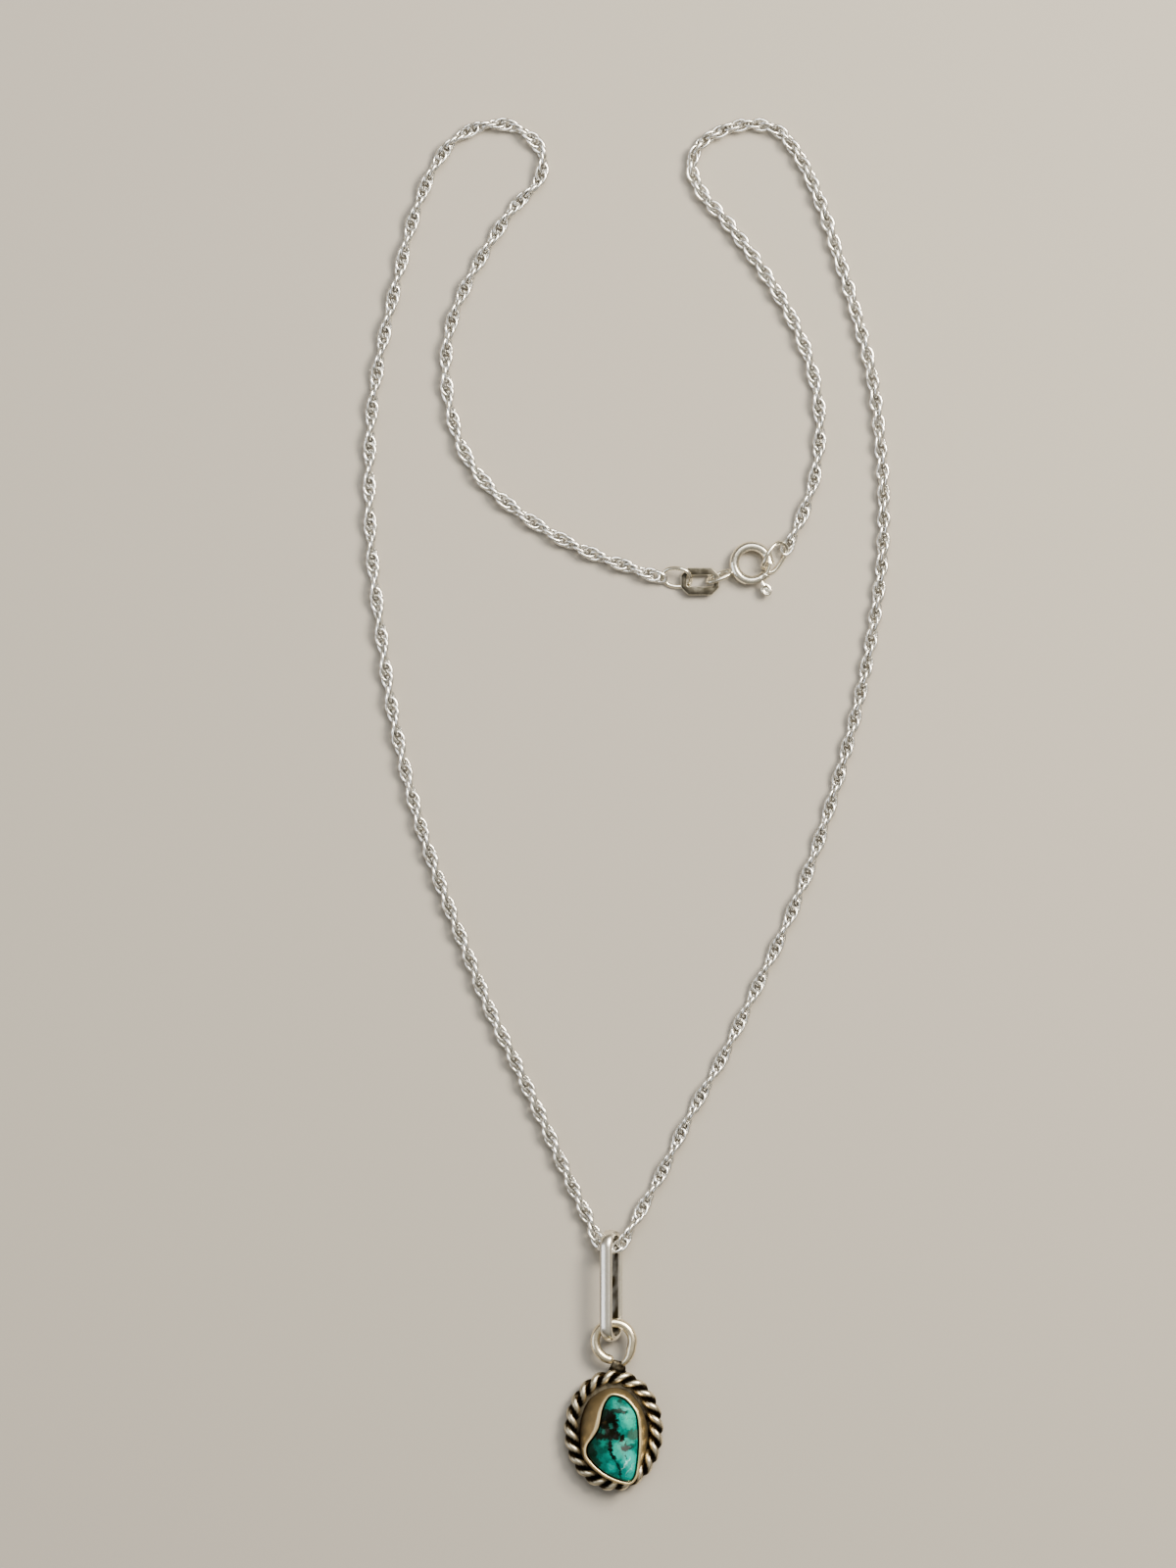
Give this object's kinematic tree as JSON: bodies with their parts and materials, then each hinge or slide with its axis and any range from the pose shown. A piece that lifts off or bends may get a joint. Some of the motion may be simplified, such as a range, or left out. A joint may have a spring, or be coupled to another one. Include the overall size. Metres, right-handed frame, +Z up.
{
  "type": "turquoise necklace",
  "caption": "Silver necklace lying flat: rope chain with spring ring clasp, long wire bail, and a drop with a turquoise nugget in a bezel inside a twisted wire border.",
  "frame": {"origin": "on the surface the necklace lies on, under the middle of its bounding box", "axes": "+Z up from the surface, +Y from the drop towards the clasp end"},
  "size_m": [0.0658, 0.1708, 0.0052],
  "materials": {
    "chain_silver": "polished sterling silver",
    "clasp_silver": "worn polished sterling silver",
    "tag_silver": "dull tarnished silver",
    "bail_silver": "satin silver",
    "aged_silver": "oxidised silver, rubbed bright on its high parts",
    "turquoise": "polished turquoise with dark matrix"
  },
  "bodies": {
    "root": {"chain_left": "chain_silver", "chain_right": "chain_silver", "end_ring_left": "clasp_silver", "tag_link": "tag_silver", "spring_ring": "clasp_silver", "end_ring_right": "clasp_silver", "bail": "bail_silver", "setting": "aged_silver", "turquoise_stone": "turquoise"},
    "trigger": {"spring_ring_trigger": "clasp_silver"}
  },
  "joints": [
    {"name": "trigger_slide_round", "type": "hinge", "parent": "root", "child": "trigger", "pos_m": [0.01554, 0.02988, 0.0012], "axis": [0, 0, -1], "range_deg": [0, 38], "stiffness_Nm_per_rad": 0.003}
  ]
}
